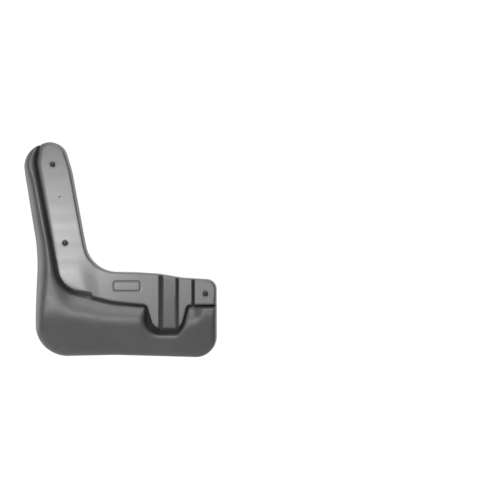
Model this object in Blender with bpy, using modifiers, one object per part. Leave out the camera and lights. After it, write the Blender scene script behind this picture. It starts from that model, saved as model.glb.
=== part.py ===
"""A moulded splash guard (mud flap) for one wheel arch of a car, with the fixings that hold it.

The guard is one thin-walled plastic moulding: a flange with three fixing holes, bounded by a groove, and a
body that bulges out beyond the groove. A skirt runs back from its whole outline. Each hole has a tapping
screw, a captive washer and a U-shaped spring nut behind the flange, which clips onto the arch's lip.

Sizes are millimetres, and MM turns them into Blender's metres. X runs across the guard, Z up, and the outer
face looks towards -Y. A height is measured from the fixings' seating plane (Y = 0) towards -Y. The origin is
the middle fixing's axis, in the seating plane.
"""

import math

import bmesh
import bpy
import numpy as np
from mathutils import Matrix, Vector
from mathutils.geometry import delaunay_2d_cdt

MM = 0.001
GAP = 0.3

# The moulding's levels and walls.
WALL = 3.0
FLANGE = 10.5
SKIRT_SPLAY = 0.8
LEG_GROOVE_DEPTH = 7.0
SHELF_GROOVE_DEPTH = 5.5
PLEAT_DEPTH = 7.0
LEAST_STEP = 1.0
RIM_RISE = 2.5
BELLY_RISE = 9.0
BELLY_LEAN = 0.25
CORNER_RISE = 1.6

# The leg's raised corner: where it begins to rise, and over how far. Its slope down to the shelf: the levels
# it changes between, and where it starts and how wide it is at each.
CORNER_TOP = -5.0
CORNER_LENGTH = 68.0
RIDGE_TOP = -30.0
RIDGE_FOOT = -80.0
RIDGE_START = (16.0, 30.0)
RIDGE_WIDTH = (34.0, 24.0)
# The body: where it begins to bulge and over how far, where it begins to lean back, and how softly (in square
# millimetres); and how far below the shelf it reaches its full height.
BELLY_TOP = 10.0
BELLY_LENGTH = 125.0
LEAN_TOP = -116.0
LEAN_SOFTNESS = 320.0
SHELF_RUN = 34.0
# Where, in x, each of these begins and ends, both gradually: the shelf's shallower groove, the body's slope
# up from it, and the pocket's floor; and the levels between which that floor widens.
SHALLOW_SPAN = ((-10.0, 40.0), (118.0, 128.0))
SLOPE_SPAN = ((-20.0, 25.0), (196.0, 214.0))
FLOOR_SPAN = ((112.0, 122.0), (170.0, 186.0))
FLOOR_LEVELS = (-98.0, -124.0)

# The outline's corners, clockwise from the leg's top: x, z, corner radius, radius of the edge's roll, and
# height of the skirt's rim.
OUTLINE = (
    (-67.8, 146.0, 39, 10.0, -16),
    (-7.4, 162.1, 26, 3.0, -10),
    (8.2, 111.8, 144, 2.5, -8),
    (25.8, 15.7, 151, 2.5, -8),
    (37.9, -43.7, 49, 2.5, -8),
    (108.3, -45.2, 203, 2.5, -8),
    (142.1, -47.2, 63, 2.5, -8),
    (180.3, -53.6, 66, 4.0, -8),
    (233.2, -56.8, 16, 2.5, -10),
    (232.7, -179.1, 32, 9.0, -22),
    (74.1, -174.6, 410, 9.0, -22),
    (-48.2, -178.6, 48, 15.0, -22),
    (-46.7, -16.5, 353, 25.0, -22),
    (-52.7, 24.7, 301, 22.0, -22),
    (-64.0, 97.7, 122, 20.0, -20),
)
# The groove between flange and body, from the leg's top round to the tab's end: x, z, corner radius, then for
# the flange's side of it the wall's width, the wall's share of the height, and how far off the rounded
# shoulder ends.
GROOVE = (
    (-38.5, 160.0, 0, 3.0, 0.55, 9.0),
    (-46.6, 126.0, 60, 3.4, 0.60, 12.0),
    (-9.9, -71.8, 42, 6.0, 0.85, 14.0),
    (37.5, -82.9, 4, 8.5, 0.95, 11.0),
    (42.0, -84.8, 4, 2.8, 0.70, 6.0),
    (72.0, -92.6, 150, 2.8, 0.70, 6.0),
    (124.3, -97.4, 5, 2.4, 0.70, 5.5),
    (134.9, -133.2, 16, 2.2, 0.75, 5.0),
    (179.9, -133.2, 16, 2.2, 0.75, 5.0),
    (189.1, -97.2, 5, 2.2, 0.75, 5.0),
    (250.0, -97.2, 0, 2.4, 0.75, 5.5),
)
POCKET_CORNERS = slice(7, 9)
# The body's side of the groove: its wall's width, the rounding of its edge, and the width and the fall of the
# floor below the pocket.
BODY_WALL = 2.2
EDGE_ROUND = 1.8
POCKET_FLOOR = 6.4
POCKET_FALL = 0.8
# The pleats that cross the flange beside the tab: left edge, right edge and lower end.
PLEATS = (
    (143.4, 151.6, -133.2),
    (169.7, 175.7, -133.2),
    (194.3, 200.4, -97.2),
)
PLEAT_CURVE = 1.3
PLEAT_OUT = 0.75
# The flange's panels between the pleats: left edge, right edge, and how far each lies below the flange at its
# top and at its foot.
PANELS = ((147.5, 172.7, 1.0, 5.0), (172.7, 197.3, 0.8, 1.6))
PANEL_TOP = -48.0
PANEL_FOOT = -133.0

# The fixings: name and place of the axis.
FIXINGS = (
    ("top", -19.5, 121.0),
    ("mid", 0.0, 0.0),
    ("tab", 216.0, -78.0),
)
HOLE_RADIUS = 2.3
BOSS_RADIUS = 7.0
SPOT_RADIUS = 4.7
SPOT_DEPTH = 0.6

# The tapping screw, 3.9 mm across its thread and 19 mm under the head, its washer and its spring nut.
SCREW_RADIUS = 1.95
SCREW_CORE = 1.45
SCREW_PITCH = 1.3
SCREW_LENGTH = 19.0
SCREW_POINT = 3.6
HEAD_RADIUS = 3.75
HEAD_HEIGHT = 2.8
RECESS_WIDTH = 0.9
RECESS_LENGTH = 3.6
RECESS_DEPTH = 1.5
WASHER_RADIUS = 4.0
WASHER_BORE = 2.2
WASHER_THICKNESS = 0.8
NUT_WIDTH = 12.0
NUT_SHEET = 0.8
NUT_GAP = 2.2
NUT_REACH = 9.0
NUT_TAIL = 8.0
NUT_HOLE = 2.6
NUT_NECK_RADIUS = 3.1
NUT_NECK_HEIGHT = 1.2
NUT_THREAD_RADIUS = 2.2

# Mesh fineness.
OUTLINE_STEP = 6.5
VALUE_REACH = 14.0
GROOVE_STEP = 5.0
FIELD_STEP = 12.0
TURN_STEPS = 24
SCREW_STEPS = 14
# For the outer and the inner face: the rolled edge's rows as shares of its radius; the groove's rows as
# shares of the flange's wall and shoulder and of the body's wall and edge; and how far out all these lie.
FRONT_ROWS = ((0.06, 0.25, 0.6, 1.0), (0.5, 1.0), (0.4, 1.0), (0.7, 1.0), (0.6, 1.5), 0.0)
REAR_ROWS = ((0.25, 1.0), (0.0, 1.0), (0.5,), (0.0, 0.8), (1.0,), WALL)
PLEAT_SHARES = (-1.0, -0.5, 0.0, 0.5, 1.0)
FLOOR_LEAST = 0.8
EDGE_REACH = 5.0
EDGE_PIECES = 6


def smooth(t):
    """0 below t = 0, 1 above t = 1, and a smooth rise between."""
    t = np.clip(t, 0.0, 1.0)
    return t * t * (3.0 - 2.0 * t)


def spanned(x, span):
    """1 where x is within a span, 0 outside it, and a smooth change at each of its ends."""
    (begins, begun), (ends, ended) = span
    return smooth((x - begins) / (begun - begins)) * (1 - smooth((x - ends) / (ended - ends)))


def rounded_path(corners, step, closed):
    """Points along a path whose corners are rounded, each with the corners' other values blended along it."""
    rows = [np.array(corner, float) for corner in corners]
    count = len(rows)
    path = []
    for i, row in enumerate(rows):
        if not closed and i in (0, count - 1):
            path.append(np.concatenate([row[:2], row[3:]]))
            continue
        here = row[:2]
        before = rows[i - 1][:2] - here
        after = rows[(i + 1) % count][:2] - here
        before_length = np.linalg.norm(before)
        after_length = np.linalg.norm(after)
        before = before / before_length
        after = after / after_length
        half = math.acos(float(np.clip(before @ after, -1, 1))) / 2
        reach = min(row[2] / math.tan(half), 0.499 * min(before_length, after_length) * 2)
        radius = reach * math.tan(half)
        middle = here + (before + after) / np.linalg.norm(before + after) * (radius / math.sin(half))
        first = here + before * reach - middle
        last = here + after * reach - middle
        start = math.atan2(first[1], first[0])
        turn = (math.atan2(last[1], last[0]) - start + math.pi) % (2 * math.pi) - math.pi
        pieces = max(2, math.ceil(abs(turn) * radius / step))
        for k in range(pieces + 1):
            angle = start + turn * k / pieces
            point = middle + radius * np.array([math.cos(angle), math.sin(angle)])
            path.append(np.concatenate([point, row[3:]]))
    return even_path(np.array(path), step, closed)


def even_path(path, step, closed):
    """The path's own points, with more between any two that lie further apart than the step."""
    ends = np.roll(path, -1, axis=0) if closed else path[1:]
    out = []
    for a, b in zip(path, ends):
        pieces = max(1, math.ceil(np.linalg.norm(b[:2] - a[:2]) / step - 0.2))
        for k in range(pieces):
            out.append(a + (b - a) * k / pieces)
    if not closed:
        out.append(path[-1])
    out = np.array(out)
    far = np.linalg.norm(out[:, :2] - np.roll(out[:, :2], 1, axis=0), axis=1) > 0.05 * step
    return out[far]


def eased(path, reach):
    """A closed path with the values along it smoothed over a reach."""
    steps = np.linalg.norm(np.roll(path[:, :2], -1, axis=0) - path[:, :2], axis=1)
    place = np.concatenate([[0.0], np.cumsum(steps)[:-1]])
    apart = np.abs(place[:, None] - place[None, :])
    apart = np.minimum(apart, steps.sum() - apart)
    weight = np.exp(-((apart / reach) ** 2)) * (steps + np.roll(steps, 1))[None, :]
    out = path.copy()
    out[:, 2:] = weight @ path[:, 2:] / weight.sum(axis=1)[:, None]
    return out


def measured(points, path, closed):
    """Signed distances of points from a path, positive on its right, and the path's values nearest them."""
    a = path if closed else path[:-1]
    b = np.roll(path, -1, axis=0) if closed else path[1:]
    along = b[:, :2] - a[:, :2]
    squared = (along**2).sum(axis=1)
    offset = points[:, None, :] - a[None, :, :2]
    t = np.clip((offset * along).sum(axis=2) / squared, 0, 1)
    gap = np.linalg.norm(offset - t[:, :, None] * along, axis=2)
    nearest = gap.argmin(axis=1)
    every = np.arange(len(points))
    t = t[every, nearest]
    offset = offset[every, nearest]
    along = along[nearest]
    side = np.sign(offset[:, 1] * along[:, 0] - offset[:, 0] * along[:, 1])
    values = a[nearest, 2:] * (1 - t[:, None]) + b[nearest, 2:] * t[:, None]
    return -side * gap[every, nearest], values


def shifted(path, distance):
    """A closed clockwise path moved inwards by a distance, or by one distance for each of its points."""
    along = np.roll(path[:, :2], -1, axis=0) - np.roll(path[:, :2], 1, axis=0)
    along /= np.linalg.norm(along, axis=1)[:, None]
    inwards = np.column_stack([along[:, 1], -along[:, 0]])
    moved = path.copy()
    moved[:, :2] += inwards * np.reshape(distance, (-1, 1))
    return moved


def ridge(z):
    """Where the leg's raised corner begins to fall away at a level, and how wide its slope is there."""
    low_down = smooth((RIDGE_TOP - z) / (RIDGE_TOP - RIDGE_FOOT))
    start = RIDGE_START[0] + (RIDGE_START[1] - RIDGE_START[0]) * low_down
    return start, RIDGE_WIDTH[0] + (RIDGE_WIDTH[1] - RIDGE_WIDTH[0]) * low_down


def flange_height(x, z, out):
    """The flange's height: level but for the leg's raised corner, the sunk panels and the pleats."""
    foot, width = ridge(z)
    on_leg = 1 - smooth((x - foot) / width)
    height = FLANGE + CORNER_RISE * smooth((CORNER_TOP - z) / CORNER_LENGTH) * on_leg
    down = np.clip((PANEL_TOP - z) / (PANEL_TOP - PANEL_FOOT), 0, 1)
    for left, right, top_drop, foot_drop in PANELS:
        height = np.where((x > left) & (x < right), height - top_drop - (foot_drop - top_drop) * down, height)
    for left, right, _ in PLEATS:
        half = (right - left) / 2 + out
        share = np.clip(1 - np.abs(x - (left + right) / 2) / half, 0, 1) ** PLEAT_CURVE
        height = height + (FLANGE - PLEAT_DEPTH - height) * share
    return height


def body_form(points, shelf):
    """At each point: the heights of the groove's floor and of the body, and the width of that floor."""
    x, z = points.T
    below = np.maximum(measured(points, shelf, False)[0], 0.0)
    depth = LEG_GROOVE_DEPTH - (LEG_GROOVE_DEPTH - SHELF_GROOVE_DEPTH) * spanned(x, SHALLOW_SPAN)
    crevice = FLANGE - depth

    leaning = LEAN_TOP - z
    lean = BELLY_LEAN * (leaning + np.sqrt(leaning**2 + LEAN_SOFTNESS)) / 2
    bulge = (BELLY_RISE - RIM_RISE) * smooth((BELLY_TOP - z) / BELLY_LENGTH)
    full = FLANGE + RIM_RISE + bulge - lean
    unrisen = (1 - np.minimum(below / SHELF_RUN, 1.0)) ** 2
    body = full - spanned(x, SLOPE_SPAN) * (full - crevice - LEAST_STEP) * unrisen

    widened = smooth((FLOOR_LEVELS[0] - z) / (FLOOR_LEVELS[0] - FLOOR_LEVELS[1]))
    return crevice, body, POCKET_FLOOR * spanned(x, FLOOR_SPAN) * widened


def walled(distance, wall, share, shoulder):
    """How far the flange's side of the groove has risen at a distance from its floor: wall, then shoulder."""
    straight = np.clip(distance / wall, 0, 1)
    rounded = 1 - (1 - np.clip(distance / shoulder, 0, 1)) ** 3
    return share * straight + (1 - share) * rounded


def edged(distance):
    """How far the body's side of the groove has risen at a distance from its floor, with a rounded edge."""
    share = np.maximum(distance, 0) / BODY_WALL
    soft = EDGE_ROUND / BODY_WALL
    bent = (share + 1 - np.sqrt((share - 1) ** 2 + soft**2)) / 2
    start = (1 - np.sqrt(1 + soft**2)) / 2
    return (bent - start) / (1 - start)


def skin_height(points, groove, shelf, out=0.0):
    """The outer skin's height at each point, before its edges roll back.

    For the skin's inner face, the walls of the groove and of the pleats are moved out by a distance.
    """
    across, values = measured(points, groove, False)
    crevice, body, floor = body_form(points, shelf)
    low = crevice - POCKET_FALL * np.clip(across, 0, floor)
    outside = low + (body - low) * edged(across - out - floor)
    flange = flange_height(*points.T, PLEAT_OUT * out)
    inside = crevice + (flange - crevice) * walled(-across - out, *values.T)
    return np.where(across > 0, outside, inside)


def rolled(depth_in, roll):
    """How far an edge with this roll radius has dropped at a distance in from the outline."""
    share = 1 - np.clip(depth_in / roll, 0, 1)
    return roll * (1 - np.sqrt(np.clip(1 - share**2, 0, 1)))


def front_heights(points, outline, groove, shelf):
    """The outer face's height, rolled back at the outline."""
    depth_in, values = measured(points, outline, True)
    return skin_height(points, groove, shelf) - rolled(np.maximum(depth_in, 0), values[:, 0])


def rear_heights(points, outline, groove, shelf):
    """The inner face's height: a wall's thickness behind the outer face, also at the sides of its grooves."""
    depth_in, values = measured(points, outline, True)
    roll = np.maximum(values[:, 0] - WALL, 1.0)
    return skin_height(points, groove, shelf, WALL) - WALL - rolled(np.maximum(depth_in, 0), roll)


def feature_lines(groove, shelf, rows):
    """Lines that a face's triangles follow: the groove's floor and sides, the raised corner, the pleats."""
    _, wall_shares, shoulder_shares, body_shares, round_shares, out = rows
    along = np.gradient(groove[:, :2], axis=0)
    along /= np.linalg.norm(along, axis=1)[:, None]
    to_body = np.column_stack([along[:, 1], -along[:, 0]])
    floor = np.full((len(groove), 1), 1.0)
    for _ in range(6):
        floor = (floor + body_form(groove[:, :2] + to_body * floor, shelf)[2][:, None]) / 2
    wall = groove[:, 2:3]
    shoulder = groove[:, 4:5] - wall
    insets = [-out - share * wall for share in wall_shares]
    insets += [-out - wall - share * shoulder for share in shoulder_shares]
    insets += [out + floor + share * BODY_WALL for share in body_shares]
    insets += [out + floor + BODY_WALL + share * EDGE_ROUND for share in round_shares]
    lines = [groove[:, :2] + to_body * inset for inset in insets]
    floored = floor[:, 0] > FLOOR_LEAST
    lines.append((groove[:, :2] + to_body * (out + floor))[floored])
    if not out:
        lines.append(groove[:, :2])
    levels = np.arange(-46.0, -80.0, -GROOVE_STEP)
    foot, width = ridge(levels)
    lines += [np.column_stack([foot + width * share, levels]) for share in (0.0, 0.5, 1.0)]
    for left, right, low in PLEATS:
        levels = np.arange(-36.0, low, -GROOVE_STEP)
        half = (right - left) / 2 + PLEAT_OUT * out
        for share in PLEAT_SHARES:
            x = (left + right) / 2 + share * half
            lines.append(np.column_stack([np.full(len(levels), x), levels]))
    return lines


def field_points(outline, groove, rows, margin):
    """Points inside the outline that no line passes through: rows along the rolled edge, and an open grid."""
    found = []
    for share in rows[0]:
        inset = outline[:, 2] * share
        moved = shifted(outline, inset)[:, :2]
        keep = (inset > margin) & (np.abs(measured(moved, outline, True)[0] - inset) < 0.3)
        found.append(moved[keep])
    low = outline[:, :2].min(axis=0)
    high = outline[:, :2].max(axis=0)
    levels = np.arange(low[1], high[1], FIELD_STEP * math.sqrt(0.75))
    columns = np.arange(low[0], high[0], FIELD_STEP)
    grid = np.array([(x + (k % 2) * FIELD_STEP / 2, z) for k, z in enumerate(levels) for x in columns])
    depth_in, values = measured(grid, outline, True)
    clear = depth_in > values[:, 0] + 0.3 * FIELD_STEP
    clear &= np.abs(measured(grid, groove, False)[0]) > 0.6 * FIELD_STEP
    found.append(grid[clear])
    return np.vstack(found)


def finer_at_edge(line, outline):
    """A line with more points where it nears the outline."""
    near = measured(line, outline, True)[0] < EDGE_REACH
    found = [line[:1]]
    for k in range(1, len(line)):
        pieces = EDGE_PIECES if near[k - 1] or near[k] else 1
        shares = np.arange(1, pieces + 1)[:, None] / pieces
        found.append(line[k - 1] + (line[k] - line[k - 1]) * shares)
    return np.vstack(found)


def border_point(start, end, outline):
    """The index of the outline's point that a line from start towards end passes through, if there is one."""
    along = (end - start) / np.linalg.norm(end - start)
    offset = outline[:, :2] - start
    t = offset @ along
    off = np.linalg.norm(offset - t[:, None] * along, axis=1)
    off[(t < 0) | (t > EDGE_REACH)] = np.inf
    nearest = int(off.argmin())
    return nearest if off[nearest] < 0.15 else None


def with_crossings(rim, insets, groove, shelf, rows):
    """The rim's path, with a point added wherever a feature line crosses it once moved in by an inset."""
    added = []
    for inset, kind in zip(insets, rows):
        moved = shifted(rim, inset)[:, :2]
        for line in feature_lines(groove, shelf, kind):
            added += crossings(line, moved)
    places = []
    for place in sorted(added):
        span = np.linalg.norm(rim[(int(place) + 1) % len(rim), :2] - rim[int(place), :2])
        from_last = (place - places[-1]) * span if places else 1.0
        to_corner = min(place % 1, 1 - place % 1) * span
        if from_last > 0.25 and to_corner > 0.25:
            places.append(place)
    path = []
    for k, row in enumerate(rim):
        path.append(row)
        after = rim[(k + 1) % len(rim)]
        path += [row + (after - row) * (place - k) for place in places if int(place) == k]
    return np.array(path)


def crossings(line, border):
    """Where a line crosses a closed border, each as the number of the border's edge and how far along it."""
    first = (line[1:] - line[:-1])[:, None, :]
    second = (np.roll(border, -1, axis=0) - border)[None, :, :]
    offset = border[None, :, :] - line[:-1, None, :]
    turn = first[..., 0] * second[..., 1] - first[..., 1] * second[..., 0]
    turn = np.where(np.abs(turn) < 1e-9, np.inf, turn)
    along = (offset[..., 0] * second[..., 1] - offset[..., 1] * second[..., 0]) / turn
    across = (offset[..., 0] * first[..., 1] - offset[..., 1] * first[..., 0]) / turn
    met = (along >= 0) & (along <= 1) & (across >= 0) & (across < 1) & np.isfinite(turn)
    return [float(k + t) for k, t in zip(np.nonzero(met)[1], across[met])]


def sheet(outline, groove, shelf, rows, margin=0.8):
    """A flat sheet of triangles inside the outline: its points, its faces, and the outline's points in it."""
    points = [Vector(point) for point in outline[:, :2]]
    edges = [(i, (i + 1) % len(outline)) for i in range(len(outline))]
    for line in feature_lines(groove, shelf, rows):
        line = finer_at_edge(line, outline)
        inside = measured(line, outline, True)[0] > margin
        for i, point in enumerate(line):
            if inside[i]:
                points.append(Vector(point))
                if i and inside[i - 1]:
                    edges.append((len(points) - 2, len(points) - 1))
            for beyond in (i - 1, i + 1):
                if inside[i] and 0 <= beyond < len(line) and not inside[beyond]:
                    met = border_point(point, line[beyond], outline)
                    edges += [(met, len(points) - 1)] if met is not None else []
    points += [Vector(point) for point in field_points(outline, groove, rows, margin)]
    corners, _, faces, sources, _, _ = delaunay_2d_cdt(points, edges, [], 1, 1e-4)
    place = {old: new for new, olds in enumerate(sources) for old in olds}
    border = [place[i] for i in range(len(outline))]
    return np.array([corner[:] for corner in corners]), [tuple(face) for face in faces], border


def in_world(points, heights):
    """Points of the front view, with their heights, as places in the world."""
    return [Vector((x, -h, z)) * MM for (x, z), h in zip(points, heights)]


def moulding_mesh():
    """The moulding's closed wall: outer face, skirt, rim and inner face."""
    rim = eased(rounded_path(OUTLINE, OUTLINE_STEP, True), VALUE_REACH)
    groove = rounded_path(GROOVE, GROOVE_STEP, False)
    past_pocket = GROOVE[: POCKET_CORNERS.start - 1] + GROOVE[POCKET_CORNERS.stop :]
    shelf = rounded_path(past_pocket, GROOVE_STEP, False)
    rim = with_crossings(rim, (SKIRT_SPLAY, SKIRT_SPLAY + WALL), groove, shelf, (FRONT_ROWS, REAR_ROWS))
    edge = shifted(rim, SKIRT_SPLAY)
    inner_edge = shifted(edge, WALL)
    inner_rim = shifted(rim, WALL)

    mesh = bmesh.new()

    def add(places):
        return [mesh.verts.new(place) for place in places]

    points, faces, border = sheet(edge, groove, shelf, FRONT_ROWS)
    front = add(in_world(points, front_heights(points, edge, groove, shelf)))
    for face in faces:
        mesh.faces.new([front[i] for i in face])
    front_ring = [front[i] for i in border]

    points, faces, border = sheet(inner_edge, groove, shelf, REAR_ROWS)
    rear = add(in_world(points, rear_heights(points, inner_edge, groove, shelf)))
    for face in faces:
        mesh.faces.new([rear[i] for i in reversed(face)])
    rear_ring = [rear[i] for i in border]

    outer_ring = add(in_world(rim[:, :2], rim[:, 3]))
    inner_ring = add(in_world(inner_rim[:, :2], rim[:, 3]))
    rings = (front_ring, outer_ring, inner_ring, rear_ring)
    for first, second in zip(rings, rings[1:]):
        for i in range(len(first)):
            k = (i + 1) % len(first)
            mesh.faces.new([first[i], second[i], second[k], first[k]])
    bmesh.ops.recalc_face_normals(mesh, faces=mesh.faces[:])
    return mesh


def make_object(name, mesh, material, collection):
    """A named object with this mesh and material."""
    data = bpy.data.meshes.new(name)
    mesh.to_mesh(data)
    mesh.free()
    data.materials.append(material)
    made = bpy.data.objects.new(name, data)
    collection.objects.link(made)
    return made


def cylinder(name, radius, low, high, collection, turned=TURN_STEPS):
    """A cylinder along local Z between two heights."""
    mesh = bmesh.new()
    bmesh.ops.create_cone(
        mesh,
        cap_ends=True,
        segments=turned,
        radius1=radius * MM,
        radius2=radius * MM,
        depth=(high - low) * MM,
        matrix=Matrix.Translation((0, 0, (low + high) / 2 * MM)),
    )
    data = bpy.data.meshes.new(name)
    mesh.to_mesh(data)
    mesh.free()
    made = bpy.data.objects.new(name, data)
    collection.objects.link(made)
    return made


def box(name, size, middle, collection):
    """A box with its middle at a place, both in millimetres."""
    mesh = bmesh.new()
    bmesh.ops.create_cube(mesh, size=1.0)
    bmesh.ops.scale(mesh, vec=Vector(size) * MM, verts=mesh.verts)
    bmesh.ops.translate(mesh, vec=Vector(middle) * MM, verts=mesh.verts)
    data = bpy.data.meshes.new(name)
    mesh.to_mesh(data)
    mesh.free()
    made = bpy.data.objects.new(name, data)
    collection.objects.link(made)
    return made


def facing_out(made, x, z, turn=0.0):
    """Puts an object's local Z along a fixing's axis, pointing out of the guard's face."""
    place = Matrix.Translation((x * MM, 0, z * MM))
    made.matrix_world = place @ Matrix.Rotation(math.pi / 2, 4, "X") @ Matrix.Rotation(turn, 4, "Z")
    return made


def boolean(made, cutter, operation):
    """Cuts a helper out of an object, or joins it on."""
    cutter.hide_render = True
    cutter.display_type = "WIRE"
    modifier = made.modifiers.new(cutter.name, "BOOLEAN")
    modifier.operation = operation
    modifier.object = cutter
    modifier.solver = "EXACT"


def turned(name, profile, material, collection, closed=False, steps=TURN_STEPS):
    """A turned piece: a profile of radii and heights, turned about local Z."""
    mesh = bmesh.new()
    corners = [mesh.verts.new((radius * MM, 0, height * MM)) for radius, height in profile]
    for first, second in zip(corners, corners[1:]):
        mesh.edges.new((first, second))
    if closed:
        mesh.edges.new((corners[-1], corners[0]))
    made = make_object(name, mesh, material, collection)
    screw = made.modifiers.new("turn", "SCREW")
    screw.axis = "Z"
    screw.steps = steps
    screw.render_steps = steps
    screw.use_merge_vertices = True
    screw.merge_threshold = 1e-6
    screw.use_smooth_shade = True
    return made


def material_of(name, colour, roughness, metallic):
    """A plain surface with one colour."""
    material = bpy.data.materials.new(name)
    material.use_nodes = True
    shader = material.node_tree.nodes["Principled BSDF"]
    shader.inputs["Base Color"].default_value = (*colour, 1.0)
    shader.inputs["Roughness"].default_value = roughness
    shader.inputs["Metallic"].default_value = metallic
    return material


def make_guard(parts, cutters, material):
    """The moulding, with a boss behind each fixing and a sunk spot in front of it."""
    guard = make_object("splash_guard_shell", moulding_mesh(), material, parts)
    for name, x, z in FIXINGS:
        boss = facing_out(cylinder(f"boss_{name}", BOSS_RADIUS, 0, FLANGE - 1.5, cutters), x, z)
        spot = cylinder(f"spot_{name}", SPOT_RADIUS, FLANGE - SPOT_DEPTH, FLANGE + 6, cutters)
        facing_out(spot, x, z)
        hole = facing_out(cylinder(f"hole_{name}", HOLE_RADIUS, -5, FLANGE + 5, cutters), x, z)
        boolean(guard, boss, "UNION")
        boolean(guard, spot, "DIFFERENCE")
        boolean(guard, hole, "DIFFERENCE")
    return guard


def screw_profile(seat):
    """Radii and heights of the screw, from the top of its domed head to its point."""
    profile = []
    for k in range(5):
        angle = math.pi / 2 * k / 4
        profile.append((HEAD_RADIUS * math.sin(angle), seat + HEAD_HEIGHT * (0.3 + 0.7 * math.cos(angle))))
    profile.append((HEAD_RADIUS, seat))
    profile.append((SCREW_RADIUS, seat))
    profile.append((SCREW_CORE, seat - 0.6))
    depth = 1.2
    while depth + SCREW_PITCH < SCREW_LENGTH - SCREW_POINT:
        profile.append((SCREW_CORE, seat - depth))
        profile.append((SCREW_RADIUS, seat - depth - SCREW_PITCH / 2))
        depth += SCREW_PITCH
    profile.append((SCREW_CORE, seat - SCREW_LENGTH + SCREW_POINT))
    profile.append((0.0, seat - SCREW_LENGTH))
    return profile


def make_screw(name, x, z, parts, cutters, material):
    """A pan-head tapping screw with a cross recess."""
    seat = FLANGE - SPOT_DEPTH + 2 * GAP + WASHER_THICKNESS
    screw = facing_out(turned(f"screw_{name}", screw_profile(seat), material, parts, steps=SCREW_STEPS), x, z)
    top = seat + HEAD_HEIGHT
    for turn, label in ((0.0, "across"), (math.pi / 2, "along")):
        slot = box(
            f"recess_{name}_{label}",
            (RECESS_LENGTH, RECESS_WIDTH, 2 * RECESS_DEPTH),
            (0, 0, top),
            cutters,
        )
        boolean(screw, facing_out(slot, x, z, turn), "DIFFERENCE")
    return screw


def make_washer(name, x, z, parts, material):
    """A flat washer under the screw's head."""
    low = FLANGE - SPOT_DEPTH + GAP
    high = low + WASHER_THICKNESS
    profile = [(WASHER_BORE, high), (WASHER_RADIUS, high), (WASHER_RADIUS, low), (WASHER_BORE, low)]
    return facing_out(turned(f"washer_{name}", profile, material, parts, closed=True), x, z)


def nut_line():
    """The bent strip's middle line, from its front leg's end round the bend to its rear leg's end."""
    front = -GAP - NUT_SHEET / 2
    rear = front - NUT_SHEET - NUT_GAP
    bend = (front - rear) / 2
    line = [(-NUT_TAIL, front), (NUT_REACH - bend, front)]
    for k in range(1, 7):
        angle = math.pi / 2 - math.pi * k / 7
        line.append((NUT_REACH - bend + bend * math.cos(angle), front - bend + bend * math.sin(angle)))
    line += [(NUT_REACH - bend, rear), (-NUT_TAIL + 2.0, rear), (-NUT_TAIL - 0.5, rear - 1.2)]
    return line


def make_spring_nut(name, x, z, turn, parts, cutters, material):
    """A U-shaped spring nut: a bent strip with a plain hole in front and a drawn, threaded neck behind."""
    mesh = bmesh.new()
    rows = []
    for along, height in nut_line():
        sides = [side * NUT_WIDTH / 2 for side in (-1, 1)]
        rows.append([mesh.verts.new(Vector((along, side, height)) * MM) for side in sides])
    for first, second in zip(rows, rows[1:]):
        mesh.faces.new((first[0], second[0], second[1], first[1]))
    nut = facing_out(make_object(f"spring_nut_{name}", mesh, material, parts), x, z, turn)
    thickness = nut.modifiers.new("sheet", "SOLIDIFY")
    thickness.thickness = NUT_SHEET * MM
    thickness.offset = 0.0
    thickness.use_even_offset = True
    front = -GAP
    rear = front - NUT_SHEET - NUT_GAP
    neck_low = rear - NUT_SHEET - NUT_NECK_HEIGHT
    neck = facing_out(cylinder(f"neck_{name}", NUT_NECK_RADIUS, neck_low, rear - 0.3, cutters), x, z)
    thread = facing_out(cylinder(f"thread_{name}", NUT_THREAD_RADIUS, neck_low - 1, rear + 1, cutters), x, z)
    opening = facing_out(cylinder(f"opening_{name}", NUT_HOLE, front - 1.5, front + 1, cutters), x, z)
    boolean(nut, neck, "UNION")
    boolean(nut, thread, "DIFFERENCE")
    boolean(nut, opening, "DIFFERENCE")
    return nut


def main():
    for old in list(bpy.data.objects):
        bpy.data.objects.remove(old, do_unlink=True)
    parts = bpy.data.collections.new("mud_flap")
    cutters = bpy.data.collections.new("mud_flap_cutters")
    bpy.context.scene.collection.children.link(parts)
    bpy.context.scene.collection.children.link(cutters)
    plastic = material_of("moulded_plastic", (0.085, 0.087, 0.09), 0.5, 0.0)
    black_steel = material_of("black_steel", (0.03, 0.03, 0.032), 0.35, 0.9)
    zinc_steel = material_of("zinc_steel", (0.6, 0.6, 0.58), 0.35, 1.0)

    guard = make_guard(parts, cutters, plastic)
    pieces = [guard]
    for name, x, z in FIXINGS:
        turn = math.pi / 2 if name == "tab" else 0.0
        pieces.append(make_screw(name, x, z, parts, cutters, black_steel))
        pieces.append(make_washer(name, x, z, parts, black_steel))
        pieces.append(make_spring_nut(name, x, z, turn, parts, cutters, zinc_steel))
    bpy.context.view_layer.update()
    for piece in pieces:
        piece.data.shade_smooth()
        piece.data.set_sharp_from_angle(angle=math.radians(35))


main()
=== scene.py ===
"""The looks of the moulded splash guard (mud flap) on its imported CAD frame.

The shell is rebuilt as a fine surface with its small moulding marks, and the screws, washers and spring
nuts as detailed hardware. Every piece rides on its CAD body. The object's sizes are millimetres, and MM turns
them into metres; the studio's sizes are metres. X runs across the guard, Z up, and the outer face looks
towards -Y. A height is measured from the fixings' seating plane (Y = 0) towards -Y.
"""

import math

import bmesh
import bpy
import numpy as np
from mathutils import Matrix, Vector
from mathutils.geometry import delaunay_2d_cdt


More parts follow.
